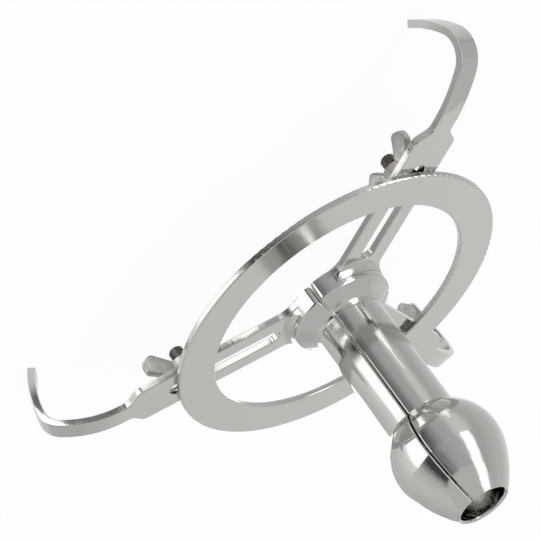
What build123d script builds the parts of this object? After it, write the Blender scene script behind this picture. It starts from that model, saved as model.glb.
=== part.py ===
from build123d import *
import os
from math import acos, atan2, cos, degrees, radians, sin, sqrt, tan

# Three-bladed expanding anal speculum: a flat ring carries three slotted arms, 120 degrees apart.
# Each arm is one piece with a blade, which is a third of a hollow tube that ends in a bulb,
# and with a hook. A threaded stud under the ring passes each slot, and a wing nut clamps the arm.
# Frame: +Z runs from the ring to the blade tips. The origin is on the ring's axis, level with
# the back of the arms, where an instrument enters the passage. All sizes are in millimetres.

# Stations around the ring
STATION_COUNT = 3
FIRST_STATION_ANGLE = 30

# Ring
RING_OUTER_RADIUS = 95
RING_WIDTH = 20.8
RING_THICKNESS = 3.4
RING_EDGE_ROUND = 0.8

# Arm
ARM_WIDTH = 26
ARM_THICKNESS = 4
ARM_EDGE_ROUND = 0.5
ARM_FLARE_RADIUS = 16
SLOT_CLEARANCE = 0.6
SLOT_ROOT_LAND = 0.5
SLOT_PAST_STUD = 14
SHOULDER_PAST_RING = 17.5
SHOULDER_LENGTH = 11

# Hook: a narrower band that leaves the shoulder straight and curls back, away from the blades.
# The hooks are bent by hand, so each blade has its own three radii and turns: lead, bend and tip.
BAND_WIDTH = 11.5
BAND_STRAIGHT = 1.6
HOOK_RADII = ((93, 14.5, 68), (57, 10.7, 61), (75, 12.5, 65))
HOOK_TURNS = ((18.5, 95, 21.5), (32.5, 61, 27), (25, 78, 24))
HOOK_CORNER_ROUND = 2.5

# Blade
SHAFT_RADIUS = 18.7
SHAFT_LENGTH = 85.7
BLADE_WALL = 2.2
SEAM_GAP = 0.9
SEAM_ROUND = 0.7
COLLAR_RADIUS = 28.3
COLLAR_WALL_HEIGHT = 10.4
COLLAR_HEIGHT = 17
COLLAR_NOSE_ROUND = 2
COLLAR_CORNER_ROUND = 2.5
COLLAR_THROAT_FILLET = 4
NECK_FILLET = 2
BULB_RADIUS = 29.4
BULB_LOWER_RISE = 28
BULB_UPPER_LENGTH = 32.6
BULB_SHOULDER_RADIUS = 32
BULB_SWEEP_RADIUS = 67.746
TIP_RADIUS = 14

# Stud
STUD_DIAMETER = 8
STUD_SEAT_DEPTH = 2.4
STUD_REACH = 16.5
STUD_CHAMFER = 0.8

# Wing nut
THREAD_FIT = 0.05
NUT_SEAT_CLEARANCE = 0.05
NUT_HUB_HEIGHT = 9.5
NUT_SEAT_RADIUS = 8
NUT_TOP_RADIUS = 6.4
NUT_HUB_ROUND = 1.2
NUT_SPAN = 39
NUT_HEIGHT = 20
WING_THICKNESS = 4.2
WING_WIDTH = 9.5
WING_TIP_WIDTH = 6.3
WING_TIP_SLANT = 3.5
WING_ROOT_DROP = 2
WING_TIP_ROUND = 3
WING_EDGE_ROUND = 1
NUT_TURNS = (3, -4, 40)

# Worked out from the sizes above
STATION_ANGLES = [FIRST_STATION_ANGLE + index * 360 / STATION_COUNT for index in range(STATION_COUNT)]
HALF_SECTOR = 180 / STATION_COUNT
RING_BACK = ARM_THICKNESS
RING_INNER_RADIUS = RING_OUTER_RADIUS - RING_WIDTH
STATION_RADIUS = RING_OUTER_RADIUS - RING_WIDTH / 2
SLOT_RADIUS = (STUD_DIAMETER + SLOT_CLEARANCE) / 2
COLLAR_NOSE_TURN = 90 - degrees(atan2(COLLAR_HEIGHT - COLLAR_WALL_HEIGHT, COLLAR_RADIUS - SHAFT_RADIUS))
COLLAR_NOSE_START = COLLAR_WALL_HEIGHT - COLLAR_NOSE_ROUND * tan(radians(COLLAR_NOSE_TURN / 2))
COVE_RADIUS = COLLAR_NOSE_START - ARM_THICKNESS
SLOT_INNER_END = COLLAR_RADIUS + COVE_RADIUS + SLOT_ROOT_LAND
SLOT_OUTER_END = STATION_RADIUS + SLOT_PAST_STUD
SHOULDER_START = RING_OUTER_RADIUS + SHOULDER_PAST_RING
SHOULDER_END = SHOULDER_START + SHOULDER_LENGTH
HOOK_START = SHOULDER_END + BAND_STRAIGHT
BORE_RADIUS = SHAFT_RADIUS - BLADE_WALL
BULB_CENTRE = SHAFT_LENGTH + BULB_LOWER_RISE * sqrt(1 - (SHAFT_RADIUS / BULB_RADIUS) ** 2)
BLADE_TOP = BULB_CENTRE + BULB_UPPER_LENGTH
ARM_MIDDLE = ARM_THICKNESS / 2
NUT_SEAT = -NUT_SEAT_CLEARANCE


def make_ring():
    """The flat ring with eased edges and three blind seats in its back for the studs."""
    width = RING_OUTER_RADIUS - RING_INNER_RADIUS
    section = Pos(RING_INNER_RADIUS + width / 2, RING_BACK + RING_THICKNESS / 2) * Rectangle(width, RING_THICKNESS)
    section = fillet(section.vertices(), RING_EDGE_ROUND)
    plate = revolve(Plane.XZ * section, Axis.Z)
    seat = Cylinder(STUD_DIAMETER / 2, STUD_SEAT_DEPTH, align=(Align.CENTER, Align.CENTER, Align.MIN))
    for angle in STATION_ANGLES:
        plate -= Rot(0, 0, angle) * Pos(STATION_RADIUS, 0, RING_BACK) * seat
    return plate


def bulb_curve(inset):
    """The bulb's outline at a depth under its skin: a quarter ellipse, then two tangent arcs to the rim."""
    upper_centre = (BULB_RADIUS - BULB_SHOULDER_RADIUS, BULB_CENTRE)
    rim_across = TIP_RADIUS - upper_centre[0]
    rim_span = sqrt(rim_across ** 2 + BULB_UPPER_LENGTH ** 2)
    centre_step = BULB_SWEEP_RADIUS - BULB_SHOULDER_RADIUS
    along = (BULB_SWEEP_RADIUS ** 2 - centre_step ** 2 - rim_span ** 2) / (2 * centre_step)
    shoulder = atan2(BULB_UPPER_LENGTH, rim_across) - acos(along / rim_span)
    sweep_centre = (upper_centre[0] - centre_step * cos(shoulder), upper_centre[1] - centre_step * sin(shoulder))
    rim_turn = atan2(BLADE_TOP - sweep_centre[1], TIP_RADIUS - sweep_centre[0])
    foot_radius = SHAFT_RADIUS - inset
    foot_drop = (BULB_LOWER_RISE - inset) * sqrt(1 - (foot_radius / (BULB_RADIUS - inset)) ** 2)
    foot = (foot_radius, BULB_CENTRE - foot_drop)
    foot_angle = degrees(atan2(foot_drop / (BULB_LOWER_RISE - inset), foot_radius / (BULB_RADIUS - inset)))
    lower = EllipticalCenterArc(
        (0, BULB_CENTRE), BULB_RADIUS - inset, BULB_LOWER_RISE - inset, -foot_angle, arc_size=foot_angle)
    upper = CenterArc(upper_centre, BULB_SHOULDER_RADIUS - inset, 0, degrees(shoulder))
    rim = CenterArc(sweep_centre, BULB_SWEEP_RADIUS - inset, degrees(shoulder), degrees(rim_turn - shoulder))
    return foot, lower, upper, rim


def blade_section():
    """Half of the closed tube's section: collar, shaft and hollow bulb, as radius and height."""
    foot, lower, upper, rim = bulb_curve(0)
    inner_foot, inner_lower, inner_upper, inner_rim = bulb_curve(BLADE_WALL)
    collar_corner = (COLLAR_RADIUS, COLLAR_WALL_HEIGHT)
    throat_corner = (SHAFT_RADIUS, COLLAR_HEIGHT)
    skirt = Polyline((BORE_RADIUS, 0), (COLLAR_RADIUS, 0), collar_corner, throat_corner, foot)
    mouth = Line(rim @ 1, inner_rim @ 1)
    bore = Line(inner_foot, (BORE_RADIUS, 0))
    section = make_face([skirt, lower, upper, rim, mouth, inner_rim, inner_upper, inner_lower, bore])
    rounds = ((collar_corner, COLLAR_NOSE_ROUND), (throat_corner, COLLAR_THROAT_FILLET), (foot, NECK_FILLET))
    for corner, radius in rounds:
        vertex = section.vertices().sort_by_distance(Vector(corner[0], corner[1], 0))[0]
        section = fillet(vertex, radius)
    return section


def sector_plan():
    """One blade's share seen from above: a wedge along +X, short of each seam by half the seam's gap."""
    reach = 2 * RING_OUTER_RADIUS
    side = reach * cos(radians(HALF_SECTOR))
    width = reach * sin(radians(HALF_SECTOR))
    apex = SEAM_GAP / 2 / sin(radians(HALF_SECTOR))
    outline = Polyline((0, 0), (side, -width), (reach, -width), (reach, width), (side, width), close=True)
    return Pos(apex, 0) * make_face(outline)


def sector():
    """The same wedge as a solid, taller than the blade."""
    return extrude(sector_plan(), 2 * BLADE_TOP, both=True)


def collar_plan():
    """One blade's share of the collar seen from above, with rounded corners at the seams."""
    third = sector_plan() & Circle(COLLAR_RADIUS)
    corners = third.vertices().sort_by(Axis.Y)
    return fillet([corners[0], corners[-1]], COLLAR_CORNER_ROUND)


def blade_tube():
    """One third of the tube, its edges softened along the seams and all round the mouth."""
    tube = revolve(Plane.XZ * blade_section(), Axis.Z) & sector()
    surround = Circle(COLLAR_RADIUS + COLLAR_CORNER_ROUND) - Circle(SHAFT_RADIUS + COLLAR_CORNER_ROUND)
    tube -= extrude(surround - collar_plan(), COLLAR_HEIGHT)
    seams = tube.edges().filter_by(Axis.Z).sort_by(SortBy.DISTANCE)[-2:]
    tube = fillet(seams, SEAM_ROUND)
    rim_middle = Vector(TIP_RADIUS - BLADE_WALL / 2, 0, BLADE_TOP)
    mouth = tube.faces().sort_by_distance(rim_middle)[0]
    return fillet(mouth.edges(), SEAM_ROUND)


def arm_outline():
    """The arm seen from above: it flares into the collar, and narrows to the hook's band outside the ring."""
    half = ARM_WIDTH / 2
    band = BAND_WIDTH / 2
    middle = (SHOULDER_START + SHOULDER_END) / 2
    edges = [Line((0, -half), (0, half)), Line((SHOULDER_END, -band), (SHOULDER_END, band))]
    for sign in (1, -1):
        corner = (SHOULDER_START, sign * half)
        edges.append(Line((0, sign * half), corner))
        edges.append(Bezier(corner, (middle, sign * half), (middle, sign * band), (SHOULDER_END, sign * band)))
    outline = make_face(edges) + collar_plan()
    meeting = sqrt(COLLAR_RADIUS ** 2 - half ** 2)
    for sign in (1, -1):
        corner = outline.vertices().sort_by_distance(Vector(meeting, sign * half, 0))[0]
        outline = fillet(corner, ARM_FLARE_RADIUS)
    return outline


def arm_plate():
    """The arm's flat bar with its slot, every long edge eased."""
    length = SLOT_OUTER_END - SLOT_INNER_END
    slot = Pos(SLOT_INNER_END + length / 2, 0) * SlotOverall(length, 2 * SLOT_RADIUS)
    plate = extrude(arm_outline() - slot, ARM_THICKNESS)
    return fillet(plate.edges().filter_by(Axis.X), ARM_EDGE_ROUND)


def hook(radii, turns):
    """The narrow band, bent through three tangent arcs into a hook with a blunt, rounded end."""
    route = [Line((SHOULDER_END, ARM_MIDDLE), (HOOK_START, ARM_MIDDLE))]
    for radius, turn in zip(radii, turns):
        route.append(JernArc(route[-1] @ 1, route[-1] % 1, radius, -turn))
    path = Plane.XZ * Wire(route)
    section = Plane(path @ 0, z_dir=path % 0, x_dir=(0, 1, 0)) * Rectangle(BAND_WIDTH, ARM_THICKNESS)
    band = sweep(section, path=path)
    end = band.faces().sort_by_distance(path @ 1)[0]
    band = fillet(end.edges().sort_by(SortBy.LENGTH)[:2], HOOK_CORNER_ROUND)
    end = band.faces().sort_by_distance(path @ 1)[0]
    return fillet(end.edges().filter_by(Axis.Y), ARM_EDGE_ROUND)


def arm_cove():
    """The concave fillet from the arm's face up to the collar's nose, as wide as the arm's root."""
    low = (COLLAR_RADIUS + COVE_RADIUS, ARM_THICKNESS)
    high = (COLLAR_RADIUS, COLLAR_NOSE_START)
    foot = (SHAFT_RADIUS, ARM_THICKNESS)
    head = (SHAFT_RADIUS, COLLAR_NOSE_START)
    curve = CenterArc((low[0], high[1]), COVE_RADIUS, 180, 90)
    section = make_face([Polyline(low, foot, head, high), curve])
    plan = offset(arm_outline(), amount=-ARM_EDGE_ROUND)
    return revolve(Plane.XZ * section, Axis.Z) & extrude(plan, COLLAR_HEIGHT)


def make_blade(index):
    """Blade, collar, arm and hook in one piece, pointing along +X."""
    bore = Cylinder(BORE_RADIUS, 2 * COLLAR_HEIGHT)
    root = (arm_plate() + arm_cove()) & sector()
    return blade_tube() + (root - bore) + hook(HOOK_RADII[index], HOOK_TURNS[index])


def make_stud():
    """A stud whose thread passes the slot, seated in the back of the ring."""
    length = STUD_REACH + RING_BACK + STUD_SEAT_DEPTH
    stud = Pos(0, 0, -STUD_REACH) * Cylinder(STUD_DIAMETER / 2, length, align=(Align.CENTER, Align.CENTER, Align.MIN))
    return chamfer(stud.edges().group_by(Axis.Z)[0], STUD_CHAMFER)


def make_wing():
    """One flared wing along +X, with rounded corners and softened edges."""
    tip = NUT_SPAN / 2
    root = STUD_DIAMETER / 2 + THREAD_FIT
    outline = Polyline(
        (root, -WING_ROOT_DROP),
        (NUT_SEAT_RADIUS, -WING_ROOT_DROP),
        (tip, -NUT_HEIGHT + WING_WIDTH),
        (tip, -NUT_HEIGHT + WING_TIP_SLANT),
        (tip - WING_TIP_WIDTH, -NUT_HEIGHT),
        (root, -NUT_HUB_HEIGHT),
        close=True)
    face = make_face(outline)
    face = fillet(face.vertices().sort_by(Axis.X)[2:], WING_TIP_ROUND)
    wing = extrude(Plane.XZ * face, WING_THICKNESS / 2, both=True)
    tips = [side.edges().sort_by(Axis.X)[-1] for side in wing.faces().filter_by(Axis.Y)]
    return fillet(tips, WING_EDGE_ROUND)


def make_wing_nut():
    """A cast wing nut whose conical hub bears on the back of the arm, its wings standing off it."""
    hub_profile = Polyline(
        (0, 0), (NUT_SEAT_RADIUS, 0), (NUT_TOP_RADIUS, -NUT_HUB_HEIGHT), (0, -NUT_HUB_HEIGHT), close=True)
    hub_face = make_face(hub_profile)
    rim = hub_face.vertices().sort_by_distance(Vector(NUT_TOP_RADIUS, -NUT_HUB_HEIGHT, 0))[0]
    hub = revolve(Plane.XZ * fillet(rim, NUT_HUB_ROUND), Axis.Z)
    wing = make_wing()
    nut = hub + wing + Rot(0, 0, 180) * wing
    return nut - Cylinder(STUD_DIAMETER / 2 + THREAD_FIT, 4 * NUT_HUB_HEIGHT)


def build_parts():
    """Every piece in its place, by name."""
    parts = {"ring": make_ring()}
    stud = make_stud()
    wing_nut = make_wing_nut()
    for index, angle in enumerate(STATION_ANGLES):
        station = Rot(0, 0, angle)
        at_stud = station * Pos(STATION_RADIUS, 0, 0)
        parts[f"blade_{index + 1}"] = station * make_blade(index)
        parts[f"stud_{index + 1}"] = at_stud * stud
        parts[f"wing_nut_{index + 1}"] = at_stud * Pos(0, 0, NUT_SEAT) * Rot(0, 0, NUT_TURNS[index]) * wing_nut
    return parts


os.makedirs("parts", exist_ok=True)
for name, solid in build_parts().items():
    export_step(solid, f"parts/{name}.step")
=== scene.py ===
"""Looks of the three-bladed anal speculum: polished steel, real threads, a white studio and the camera."""

from math import cos, pi, radians, sin

import bpy
from mathutils import Matrix, Vector


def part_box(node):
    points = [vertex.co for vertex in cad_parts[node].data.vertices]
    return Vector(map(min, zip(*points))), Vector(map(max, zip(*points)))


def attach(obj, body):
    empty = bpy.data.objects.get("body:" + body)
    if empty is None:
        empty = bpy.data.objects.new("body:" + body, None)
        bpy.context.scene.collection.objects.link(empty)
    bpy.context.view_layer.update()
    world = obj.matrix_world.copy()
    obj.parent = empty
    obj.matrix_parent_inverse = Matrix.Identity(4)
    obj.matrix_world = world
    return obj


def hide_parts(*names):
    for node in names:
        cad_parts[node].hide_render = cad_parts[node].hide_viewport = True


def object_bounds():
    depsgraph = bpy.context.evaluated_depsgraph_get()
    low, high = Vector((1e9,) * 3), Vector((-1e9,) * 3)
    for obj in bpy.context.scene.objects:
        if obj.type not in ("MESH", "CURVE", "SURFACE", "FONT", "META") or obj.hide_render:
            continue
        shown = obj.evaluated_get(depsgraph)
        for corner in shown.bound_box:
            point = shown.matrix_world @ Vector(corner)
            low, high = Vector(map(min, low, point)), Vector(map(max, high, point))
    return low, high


bl_info = {
    "name": "Speculum looks",
    "version": (1, 0, 0),
    "blender": (4, 5, 0),
    "location": "3D View > Sidebar > Speculum",
    "description": "Finishes a three-bladed speculum in polished steel and sets its studio",
    "category": "Object",
}

MM = 0.001
PHOTO_PIXELS = 540
SENSOR_MM = 36.0
STATIONS = (1, 2, 3)

# Painted reflections: tones that glow on cards which only reflections show, so that the steel mirrors them,
# as degrees round the part from +X and brightness, where 1 is white.
# The bright tones paint highlights and the dark ones shade.
# The wall stands round the studio. The mat lies on its floor, with a painted shade for the left hook's
# edge, and the pad lies under the part, with a bright band that paints a highlight on an arm.
WALL_PAINTED_REFLECTIONS = (
    (-180, 0.70), (-140, 0.56), (-115, 0.72), (-90, 0.82), (-42, 0.68), (0, 0.54), (40, 0.56),
    (72, 0.50), (88, 0.24), (100, 0.06), (118, 0.07), (136, 0.60), (160, 0.75), (180, 0.70))
MAT_PAINTED_REFLECTIONS = (
    (-180, 0.72), (-145, 0.62), (-138, 2.0), (-108, 2.0), (-101, 0.78), (-78, 0.84), (-40, 0.68), (2, 0.54),
    (22, 0.80), (36, 0.80), (46, 0.56), (68, 0.50), (82, 0.26), (97, 0.10), (103, 0.50), (108, 1.9),
    (134, 1.9), (142, 1.0), (155, 0.85), (180, 0.72))
MAT_WITH_HOOK_PAINTED_SHADE = (
    *(stop for stop in MAT_PAINTED_REFLECTIONS if stop[0] < 105),
    (107, 0.9), (112, 0.22), (138, 0.22), (142, 0.80),
    *(stop for stop in MAT_PAINTED_REFLECTIONS if stop[0] > 150))
PAD_PAINTED_REFLECTIONS = (
    (-180, 0.55), (-90, 0.62), (0, 0.50), (60, 0.48), (71, 0.50), (76, 1.7), (91, 1.7), (96, 0.50),
    (112, 0.42), (140, 0.40), (152, 0.50), (180, 0.55))
BRIGHTEST = 2.0
OVERHEAD_TONE = 0.64
PLAIN_LIGHT = 0.9
FLOOR_GLOW = 0.93

# The strip lamp, from its foot to its head as degrees round the part and up.
STRIP_FOOT = (29, -2)
STRIP_HEAD = (8, 60)
STRIP_DISTANCE = 2.2
STRIP_WIDTH = 0.85
STRIP_RADIANCE = 2.2

# The flat ring is buffed to an even haze, and the blades to a mirror.
RING_POLISH = {
    "name": "buffed stainless steel", "sharpest": 0.12, "haziest": 0.20,
    "waver_depth": 0.3 * MM, "stroke_depth": 0.02 * MM}
BLADE_POLISH = {
    "name": "mirror polished stainless steel", "sharpest": 0.06, "haziest": 0.15,
    "waver_depth": 0.7 * MM, "stroke_depth": 0.11 * MM}

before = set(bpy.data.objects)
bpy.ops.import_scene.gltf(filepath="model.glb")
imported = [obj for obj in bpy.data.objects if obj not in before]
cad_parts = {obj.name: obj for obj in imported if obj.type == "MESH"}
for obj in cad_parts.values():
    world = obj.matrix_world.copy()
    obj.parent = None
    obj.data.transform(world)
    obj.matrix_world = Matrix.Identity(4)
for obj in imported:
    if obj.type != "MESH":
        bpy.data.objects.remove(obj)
CAD_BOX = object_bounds()


def hex_to_linear(code):
    """An sRGB hex colour as linear red, green and blue."""
    channels = [int(code[i:i + 2], 16) / 255 for i in (0, 2, 4)]
    return [c / 12.92 if c <= 0.04045 else ((c + 0.055) / 1.055) ** 2.4 for c in channels]


class ThreadSizes(bpy.types.PropertyGroup):
    """Sizes of the thread cut on each stud."""
    pitch: bpy.props.FloatProperty(
        name="Pitch", description="Rise of the thread in one turn", default=1.25 * MM, unit="LENGTH")
    depth: bpy.props.FloatProperty(
        name="Depth", description="From the crest to the root", default=0.7 * MM, unit="LENGTH")
    chamfer: bpy.props.FloatProperty(
        name="Chamfer", description="Chamfer at the free end", default=0.9 * MM, unit="LENGTH")
    steps: bpy.props.IntProperty(
        name="Steps", description="Straight edges in one turn", default=40)


class FinishColours(bpy.types.PropertyGroup):
    """Colours of the steel finishes."""
    polished: bpy.props.FloatVectorProperty(
        name="Polished", description="Mirror polished stainless steel", subtype="COLOR",
        default=hex_to_linear("CFCECB"))
    cast: bpy.props.FloatVectorProperty(
        name="Cast", description="Cast steel of the wing nuts", subtype="COLOR",
        default=hex_to_linear("C8C6C2"))
    cast_pits: bpy.props.FloatVectorProperty(
        name="Cast pits", description="Low places of the cast skin", subtype="COLOR",
        default=hex_to_linear("A9A6A1"))
    thread: bpy.props.FloatVectorProperty(
        name="Thread", description="Cut thread of the studs", subtype="COLOR",
        default=hex_to_linear("8A8681"))


class StudioSizes(bpy.types.PropertyGroup):
    """The camera's place and the studio round the part."""
    azimuth: bpy.props.FloatProperty(
        name="Azimuth", description="Camera's direction round the ring's axis, from +X", subtype="ANGLE",
        default=radians(76.953))
    elevation: bpy.props.FloatProperty(
        name="Elevation", description="Camera's height angle", subtype="ANGLE", default=radians(29.072))
    roll: bpy.props.FloatProperty(
        name="Roll", description="Camera's turn about its own line of sight", subtype="ANGLE",
        default=radians(144.232))
    distance: bpy.props.FloatProperty(
        name="Distance", description="From the camera to the aim point", default=1.08393, unit="LENGTH")
    aim: bpy.props.FloatVectorProperty(
        name="Aim", description="Point in the middle of the picture", subtype="TRANSLATION",
        default=(-0.0170, 0.0039, -0.0357))
    focal_pixels: bpy.props.FloatProperty(
        name="Focal length", description="In pixels of the picture", default=2060.0)
    floor_reach: bpy.props.FloatProperty(
        name="Floor", description="Half the floor's width", default=3.0, unit="LENGTH")
    wall_radius: bpy.props.FloatProperty(
        name="Wall", description="From the part to the studio's wall", default=2.6, unit="LENGTH")
    wall_height: bpy.props.FloatProperty(
        name="Wall height", description="From the floor to the wall's top", default=2.1, unit="LENGTH")
    mat_lift: bpy.props.FloatProperty(
        name="Mat", description="From the floor to the mat, and from the mat to the pad", default=0.5 * MM,
        unit="LENGTH")
    shade_radius: bpy.props.FloatProperty(
        name="Shade", description="Outer radius of the hook's shade", default=161 * MM, unit="LENGTH")
    shade_inner_radius: bpy.props.FloatProperty(
        name="Inside of shade", description="Inner radius of the hook's shade", default=136 * MM,
        unit="LENGTH")
    pad_radius: bpy.props.FloatProperty(
        name="Pad", description="Radius of the pad under the part", default=100 * MM, unit="LENGTH")


def add_node(tree, kind, links=(), **settings):
    """Adds a node, sets its sockets and properties, and links (socket, source) pairs."""
    node = tree.nodes.new(kind)
    sockets = {socket.name.lower().replace(" ", "_"): socket for socket in reversed(node.inputs)}
    for name, value in settings.items():
        if name in sockets:
            sockets[name].default_value = value
        else:
            setattr(node, name, value)
    for name, source in links:
        tree.links.new(source, node.inputs[name])
    return node


def new_material(name):
    """An empty node material with its output."""
    material = bpy.data.materials.new(name)
    material.use_nodes = True
    material.node_tree.nodes.clear()
    return material, material.node_tree


def colour(values):
    """A colour property as a socket's four values."""
    return (*values, 1.0)


def polished_steel(name, sharpest, haziest, waver_depth, stroke_depth):
    """Stainless steel brought to a mirror on a buffing wheel, with roughness between two values.

    The eye sees reflections that waver over 22 mm, lengthwise strokes of the wheel 5 mm apart, and a faint
    haze where the wheel lifted. The two depths are drawn deeper than the real ones, so that they show."""
    material, tree = new_material(name)
    finish = bpy.context.scene.finish_colours
    place = add_node(tree, "ShaderNodeTexCoord")
    haze = add_node(tree, "ShaderNodeTexNoise", [("Vector", place.outputs["Object"])],
                    scale=1 / (14 * MM), detail=3.0, roughness=0.6)
    roughness = add_node(tree, "ShaderNodeMapRange", [("Value", haze.outputs["Fac"])],
                         from_min=0.35, from_max=0.7, to_min=sharpest, to_max=haziest)
    waver = add_node(tree, "ShaderNodeTexNoise", [("Vector", place.outputs["Object"])],
                     scale=1 / (22 * MM), detail=1.0)
    bump = add_node(tree, "ShaderNodeBump", [("Height", waver.outputs["Fac"])],
                    strength=1.0, distance=waver_depth)
    lengthwise = add_node(tree, "ShaderNodeMapping", [("Vector", place.outputs["Object"])],
                          scale=(1, 1, 0.08))
    strokes = add_node(tree, "ShaderNodeTexNoise", [("Vector", lengthwise.outputs["Vector"])],
                       scale=1 / (5 * MM), detail=2.0)
    streaks = add_node(tree, "ShaderNodeBump",
                       [("Height", strokes.outputs["Fac"]), ("Normal", bump.outputs["Normal"])],
                       strength=1.0, distance=stroke_depth)
    shader = add_node(tree, "ShaderNodeBsdfPrincipled",
                      [("Roughness", roughness.outputs["Result"]), ("Normal", streaks.outputs["Normal"])],
                      base_color=colour(finish.polished), metallic=1.0)
    add_node(tree, "ShaderNodeOutputMaterial", [("Surface", shader.outputs["BSDF"])])
    return material


def cast_steel():
    """Stainless steel cast in a sand mould, its broad faces tumbled smooth.

    The eye sees soft grey faces that cloud over 4 mm, and a fine grain only close by."""
    material, tree = new_material("cast stainless steel")
    finish = bpy.context.scene.finish_colours
    place = add_node(tree, "ShaderNodeTexCoord")
    grit = add_node(tree, "ShaderNodeTexNoise", [("Vector", place.outputs["Object"])],
                    scale=1 / (4 * MM), detail=5.0, roughness=0.55)
    tone = add_node(tree, "ShaderNodeValToRGB", [("Fac", grit.outputs["Fac"])])
    tone.color_ramp.elements[0].position = 0.30
    tone.color_ramp.elements[0].color = colour(finish.cast_pits)
    tone.color_ramp.elements[1].position = 0.62
    tone.color_ramp.elements[1].color = colour(finish.cast)
    roughness = add_node(tree, "ShaderNodeMapRange", [("Value", grit.outputs["Fac"])],
                         from_min=0.3, from_max=0.7, to_min=0.42, to_max=0.24)
    bump = add_node(tree, "ShaderNodeBump", [("Height", grit.outputs["Fac"])],
                    strength=0.35, distance=0.12 * MM)
    shader = add_node(tree, "ShaderNodeBsdfPrincipled",
                      [("Base Color", tone.outputs["Color"]), ("Roughness", roughness.outputs["Result"]),
                       ("Normal", bump.outputs["Normal"])], metallic=1.0)
    add_node(tree, "ShaderNodeOutputMaterial", [("Surface", shader.outputs["BSDF"])])
    return material


def thread_steel():
    """Stainless steel cut by a die, left unpolished.

    The eye sees dull, dark flanks with a grain of 0.8 mm, drawn that coarse so that it shows."""
    material, tree = new_material("cut stainless steel thread")
    finish = bpy.context.scene.finish_colours
    place = add_node(tree, "ShaderNodeTexCoord")
    scratches = add_node(tree, "ShaderNodeTexNoise", [("Vector", place.outputs["Object"])],
                         scale=1 / (0.8 * MM), detail=3.0)
    roughness = add_node(tree, "ShaderNodeMapRange", [("Value", scratches.outputs["Fac"])],
                         from_min=0.3, from_max=0.7, to_min=0.22, to_max=0.42)
    bump = add_node(tree, "ShaderNodeBump", [("Height", scratches.outputs["Fac"])],
                    strength=0.3, distance=0.05 * MM)
    shader = add_node(tree, "ShaderNodeBsdfPrincipled",
                      [("Roughness", roughness.outputs["Result"]), ("Normal", bump.outputs["Normal"])],
                      base_color=colour(finish.thread), metallic=1.0)
    add_node(tree, "ShaderNodeOutputMaterial", [("Surface", shader.outputs["BSDF"])])
    return material


def give_material(piece, material):
    """One material for the whole piece."""
    piece.data.materials.clear()
    piece.data.materials.append(material)


def deselect_all():
    """Nothing is selected and nothing is active, so the next operator acts on its own piece only."""
    bpy.ops.object.select_all(action="DESELECT")
    bpy.context.view_layer.objects.active = None


def pick_only(piece):
    """Selects one piece and makes it active."""
    deselect_all()
    piece.select_set(True)
    bpy.context.view_layer.objects.active = piece


def draw_profile(name, points):
    """A line of edges through the points, drawn by extruding one vertex."""
    deselect_all()
    bpy.ops.mesh.primitive_plane_add(size=MM, location=points[0])
    piece = bpy.context.object
    piece.name = name
    piece.data.name = name
    bpy.ops.object.transform_apply(location=True)
    bpy.ops.object.mode_set(mode="EDIT")
    bpy.ops.mesh.select_all(action="SELECT")
    bpy.ops.mesh.merge(type="CENTER")
    for start, end in zip(points, points[1:]):
        step = [b - a for a, b in zip(start, end)]
        bpy.ops.mesh.extrude_vertices_move(TRANSFORM_OT_translate={"value": step})
    bpy.ops.object.mode_set(mode="OBJECT")
    return piece


def cut_flat(height, keep_above):
    """Bisects the active mesh level at a height and closes the cut."""
    bpy.ops.mesh.select_all(action="SELECT")
    bpy.ops.mesh.bisect(
        plane_co=(0, 0, height), plane_no=(0, 0, 1), use_fill=True, threshold=0.001 * MM,
        clear_inner=keep_above, clear_outer=not keep_above)


class SPECULUM_OT_blades(bpy.types.Operator):
    """Polishes the ring and the three blades to a mirror"""
    bl_idname = "speculum.blades"
    bl_label = "Polish ring and blades"

    def execute(self, context):
        give_material(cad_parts["ring"], polished_steel(**RING_POLISH))
        material = polished_steel(**BLADE_POLISH)
        for station in STATIONS:
            give_material(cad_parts[f"blade_{station}"], material)
        return {"FINISHED"}


class SPECULUM_OT_wing_nuts(bpy.types.Operator):
    """Gives the three wing nuts their cast skin"""
    bl_idname = "speculum.wing_nuts"
    bl_label = "Finish wing nuts"

    def execute(self, context):
        material = cast_steel()
        for station in STATIONS:
            give_material(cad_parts[f"wing_nut_{station}"], material)
        return {"FINISHED"}


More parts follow.
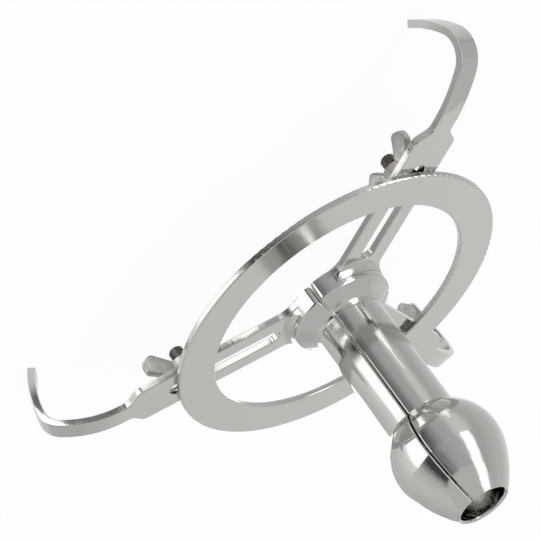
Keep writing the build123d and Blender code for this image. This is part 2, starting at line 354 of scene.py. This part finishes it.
class SPECULUM_OT_studs(bpy.types.Operator):
    """Cuts a real thread on each of the three studs"""
    bl_idname = "speculum.studs"
    bl_label = "Thread studs"

    def execute(self, context):
        sizes = context.scene.thread_sizes
        low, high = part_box("stud_1")
        radius = (high.x - low.x) / 2
        root = radius - sizes.depth
        flat = sizes.pitch / 8
        foot = low.z - 2 * sizes.pitch
        turns = int((high.z - foot) / sizes.pitch) + 3
        thread = draw_profile("thread pattern", [
            (root, 0, foot),
            (root, 0, foot + 2 * flat),
            (radius, 0, foot + sizes.pitch / 2),
            (radius, 0, foot + sizes.pitch / 2 + flat),
            (root, 0, foot + sizes.pitch)])
        screw = thread.modifiers.new("Thread", "SCREW")
        screw.screw_offset = sizes.pitch
        screw.iterations = turns
        screw.steps = sizes.steps
        screw.render_steps = sizes.steps
        screw.use_merge_vertices = True
        screw.merge_threshold = 0.001 * MM
        bpy.ops.object.modifier_apply(modifier=screw.name)
        bpy.ops.object.mode_set(mode="EDIT")
        bpy.ops.mesh.select_all(action="SELECT")
        bpy.ops.mesh.remove_doubles(threshold=0.002 * MM)
        cut_flat(low.z, True)
        cut_flat(high.z, False)
        bpy.ops.mesh.select_all(action="SELECT")
        bpy.ops.mesh.normals_make_consistent(inside=False)
        bpy.ops.object.mode_set(mode="OBJECT")
        self.shape_end(thread, low.z, radius, sizes)
        pick_only(thread)
        bpy.ops.object.shade_smooth_by_angle(angle=radians(40))
        give_material(thread, thread_steel())
        for station in STATIONS:
            low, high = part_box(f"stud_{station}")
            pick_only(thread)
            bpy.ops.object.duplicate()
            piece = bpy.context.object
            piece.name = f"stud_thread_{station}"
            piece.data.name = piece.name
            bpy.ops.transform.translate(value=((low.x + high.x) / 2, (low.y + high.y) / 2, 0))
            bpy.ops.object.transform_apply(location=True)
            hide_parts(f"stud_{station}")
            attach(piece, "ring")
        bpy.data.objects.remove(thread)
        return {"FINISHED"}

    def shape_end(self, thread, foot, radius, sizes):
        """Draws the crests in towards the free end, so the thread runs out in a chamfer."""
        for vertex in thread.data.vertices:
            allowed = radius - sizes.chamfer + max(vertex.co.z - foot, 0)
            reach = vertex.co.xy.length
            if reach > allowed:
                vertex.co.xy *= allowed / reach


def studio_world():
    """White round the part and grey overhead where rays show it, and plain light for the rest."""
    world = bpy.data.worlds.new("studio")
    world.use_nodes = True
    bpy.context.scene.world = world
    tree = world.node_tree
    tree.nodes.clear()
    direction = add_node(tree, "ShaderNodeTexCoord")
    split = add_node(tree, "ShaderNodeSeparateXYZ", [("Vector", direction.outputs["Generated"])])
    height = add_node(tree, "ShaderNodeMapRange", [("Value", split.outputs["Z"])],
                      from_min=0.36, from_max=0.60, to_min=1.0, to_max=OVERHEAD_TONE)
    background = add_node(tree, "ShaderNodeBackground", [("Strength", height.outputs["Result"])],
                          color=(1, 1, 1, 1))
    light = add_node(tree, "ShaderNodeBackground", color=(1, 1, 1, 1), strength=PLAIN_LIGHT)
    shown = shown_rays(tree)
    mix = add_node(tree, "ShaderNodeMixShader",
                   [("Fac", shown), (1, light.outputs[0]), (2, background.outputs[0])])
    add_node(tree, "ShaderNodeOutputWorld", [("Surface", mix.outputs[0])])


def shown_rays(tree):
    """1 for the rays that show the background: those of the camera, and in gloss and glass."""
    path = add_node(tree, "ShaderNodeLightPath")
    camera_or_gloss = add_node(
        tree, "ShaderNodeMath", [(0, path.outputs["Is Camera Ray"]), (1, path.outputs["Is Glossy Ray"])],
        operation="MAXIMUM")
    any_shown = add_node(
        tree, "ShaderNodeMath", [(0, camera_or_gloss.outputs[0]), (1, path.outputs["Is Transmission Ray"])],
        operation="MAXIMUM")
    return any_shown.outputs[0]


def floor_material():
    """White paper that shows as the background and keeps a faint shadow."""
    material, tree = new_material("white paper floor")
    paper = add_node(tree, "ShaderNodeBsdfDiffuse", color=(0.9, 0.9, 0.9, 1))
    glow = add_node(tree, "ShaderNodeEmission", color=(1, 1, 1, 1), strength=1.0)
    shown = shown_rays(tree)
    share = add_node(tree, "ShaderNodeMath", [(0, shown)], operation="MULTIPLY")
    share.inputs[1].default_value = FLOOR_GLOW
    mix = add_node(tree, "ShaderNodeMixShader",
                   [("Fac", share.outputs[0]), (1, paper.outputs[0]), (2, glow.outputs[0])])
    add_node(tree, "ShaderNodeOutputMaterial", [("Surface", mix.outputs[0])])
    return material


def card_material(name, tones):
    """A card that glows in the given tones round the part, one blending into the next."""
    material, tree = new_material(name)
    place = add_node(tree, "ShaderNodeTexCoord")
    around = add_node(tree, "ShaderNodeTexGradient", [("Vector", place.outputs["Object"])],
                      gradient_type="RADIAL")
    ramp = add_node(tree, "ShaderNodeValToRGB", [("Fac", around.outputs["Fac"])])
    stops = ramp.color_ramp.elements
    for angle, tone in tones[1:-1]:
        stops.new(angle / 360 + 0.5).color = colour([tone / BRIGHTEST] * 3)
    for end in (0, -1):
        stops[end].color = colour([tones[end][1] / BRIGHTEST] * 3)
    glow = add_node(tree, "ShaderNodeEmission", [("Color", ramp.outputs["Color"])], strength=BRIGHTEST)
    add_node(tree, "ShaderNodeOutputMaterial", [("Surface", glow.outputs[0])])
    return material


def finish_card(name, tones):
    """Makes the new active mesh a card that only reflections show."""
    card = bpy.context.object
    card.name = name
    card.data.name = name
    bpy.ops.object.transform_apply(location=True)
    give_material(card, card_material(name, tones))
    card.visible_camera = False
    card.visible_diffuse = False
    card.visible_shadow = False


def toward(azimuth, elevation, distance):
    """The point at these angles and this distance from the part's origin."""
    around, up = radians(azimuth), radians(elevation)
    return distance * Vector((cos(up) * cos(around), cos(up) * sin(around), sin(up)))


def add_softbox(name, foot, head, width, radiance):
    """A lamp between two points, turned to the part. Its middle has the stated radiance."""
    deselect_all()
    middle = (foot + head) / 2
    away = middle.normalized()
    along = (head - foot).normalized()
    turned = Matrix((along.cross(away), along, away)).transposed()
    bpy.ops.object.light_add(type="AREA", location=middle, rotation=turned.to_euler())
    lamp = bpy.context.object
    lamp.name = name
    lamp.data.shape = "RECTANGLE"
    lamp.data.size = width
    lamp.data.size_y = (head - foot).length
    lamp.data.energy = radiance * lamp.data.size * lamp.data.size_y * pi
    fade_sideways(lamp.data)


def fade_sideways(lamp):
    """Dims a lamp towards both sides of its width, so its reflection has soft edges."""
    lamp.use_nodes = True
    tree = lamp.node_tree
    tree.nodes.clear()
    face = add_node(tree, "ShaderNodeNewGeometry")
    across = add_node(tree, "ShaderNodeSeparateXYZ", [("Vector", face.outputs["Parametric"])])
    fade = add_node(tree, "ShaderNodeValToRGB", [("Fac", across.outputs["X"])])
    stops = fade.color_ramp.elements
    fade.color_ramp.interpolation = "B_SPLINE"
    stops[1].color = colour([0] * 3)
    for place in (0.38, 0.62):
        stops.new(place).color = colour([1] * 3)
    glow = add_node(tree, "ShaderNodeEmission", [("Color", fade.outputs["Color"])], strength=1.0)
    add_node(tree, "ShaderNodeOutputLight", [("Surface", glow.outputs[0])])


class SPECULUM_OT_stage(bpy.types.Operator):
    """Sets the white floor, the studio light and the camera"""
    bl_idname = "speculum.stage"
    bl_label = "Set the stage"

    def execute(self, context):
        sizes = context.scene.studio_sizes
        deselect_all()
        low = CAD_BOX[0]
        bpy.ops.mesh.primitive_plane_add(size=2 * sizes.floor_reach, location=(0, 0, low.z))
        floor = bpy.context.object
        floor.name = "floor"
        bpy.ops.object.transform_apply(location=True)
        give_material(floor, floor_material())
        studio_world()
        self.add_cards(sizes, low.z)
        foot, head = (toward(*angles, STRIP_DISTANCE) for angles in (STRIP_FOOT, STRIP_HEAD))
        add_softbox("strip", foot, head, STRIP_WIDTH, STRIP_RADIANCE)
        self.set_camera(sizes)
        context.scene.view_settings.view_transform = "Standard"
        return {"FINISHED"}

    def add_cards(self, sizes, ground):
        """The studio's wall and mat: glowing cards that only reflections show, which paint the steel's
        greys, highlights and shade.
        """
        deselect_all()
        bpy.ops.mesh.primitive_cylinder_add(
            vertices=96, radius=sizes.wall_radius, depth=sizes.wall_height, end_fill_type="NOTHING",
            location=(0, 0, ground + sizes.wall_height / 2))
        finish_card("glowing wall card", WALL_PAINTED_REFLECTIONS)
        # Glowing discs stacked on the floor, each painting reflections in its tones; the hook's disc paints
        # a shade on the left hook's edge.
        discs = (
            ("glowing mat card", sizes.wall_radius, MAT_PAINTED_REFLECTIONS),
            ("painted hook shade card", sizes.shade_radius, MAT_WITH_HOOK_PAINTED_SHADE),
            ("glowing inner mat card", sizes.shade_inner_radius, MAT_PAINTED_REFLECTIONS),
            ("glowing pad card", sizes.pad_radius, PAD_PAINTED_REFLECTIONS))
        for level, (name, radius, tones) in enumerate(discs, 1):
            deselect_all()
            bpy.ops.mesh.primitive_circle_add(
                vertices=96, radius=radius, fill_type="NGON",
                location=(0, 0, ground + level * sizes.mat_lift))
            finish_card(name, tones)

    def set_camera(self, sizes):
        """The photograph's viewpoint: direction, distance and roll about the line of sight."""
        back = Vector((cos(sizes.elevation) * cos(sizes.azimuth), cos(sizes.elevation) * sin(sizes.azimuth),
                       sin(sizes.elevation)))
        level = Vector((-sin(sizes.azimuth), cos(sizes.azimuth), 0))
        upright = back.cross(level)
        right = cos(sizes.roll) * level + sin(sizes.roll) * upright
        up = back.cross(right)
        turned = Matrix((right, up, back)).transposed().to_4x4()
        deselect_all()
        bpy.ops.object.camera_add()
        camera = bpy.context.object
        camera.name = "photo camera"
        camera.matrix_world = Matrix.Translation(Vector(sizes.aim) + sizes.distance * back) @ turned
        camera.data.sensor_width = SENSOR_MM
        camera.data.lens = sizes.focal_pixels * SENSOR_MM / PHOTO_PIXELS
        camera.data.clip_start = 0.01
        bpy.context.scene.camera = camera


class SPECULUM_PT_panel(bpy.types.Panel):
    """Lists the speculum's steps and sizes"""
    bl_idname = "SPECULUM_PT_panel"
    bl_label = "Speculum"
    bl_space_type = "VIEW_3D"
    bl_region_type = "UI"
    bl_category = "Speculum"

    def draw(self, context):
        for operator in OPERATORS:
            self.layout.operator(operator.bl_idname)
        for group in (context.scene.thread_sizes, context.scene.finish_colours, context.scene.studio_sizes):
            for name in group.__annotations__:
                self.layout.prop(group, name)


GROUPS = {"thread_sizes": ThreadSizes, "finish_colours": FinishColours, "studio_sizes": StudioSizes}
OPERATORS = (SPECULUM_OT_stage, SPECULUM_OT_blades, SPECULUM_OT_wing_nuts, SPECULUM_OT_studs)


def register():
    for name, group in GROUPS.items():
        bpy.utils.register_class(group)
        setattr(bpy.types.Scene, name, bpy.props.PointerProperty(type=group))
    for operator in OPERATORS:
        bpy.utils.register_class(operator)
    bpy.utils.register_class(SPECULUM_PT_panel)


def unregister():
    bpy.utils.unregister_class(SPECULUM_PT_panel)
    for operator in reversed(OPERATORS):
        bpy.utils.unregister_class(operator)
    for name, group in reversed(GROUPS.items()):
        delattr(bpy.types.Scene, name)
        bpy.utils.unregister_class(group)


def main():
    register()
    bpy.ops.speculum.stage()
    bpy.ops.speculum.blades()
    bpy.ops.speculum.wing_nuts()
    bpy.ops.speculum.studs()


if __name__ == "__main__":
    main()
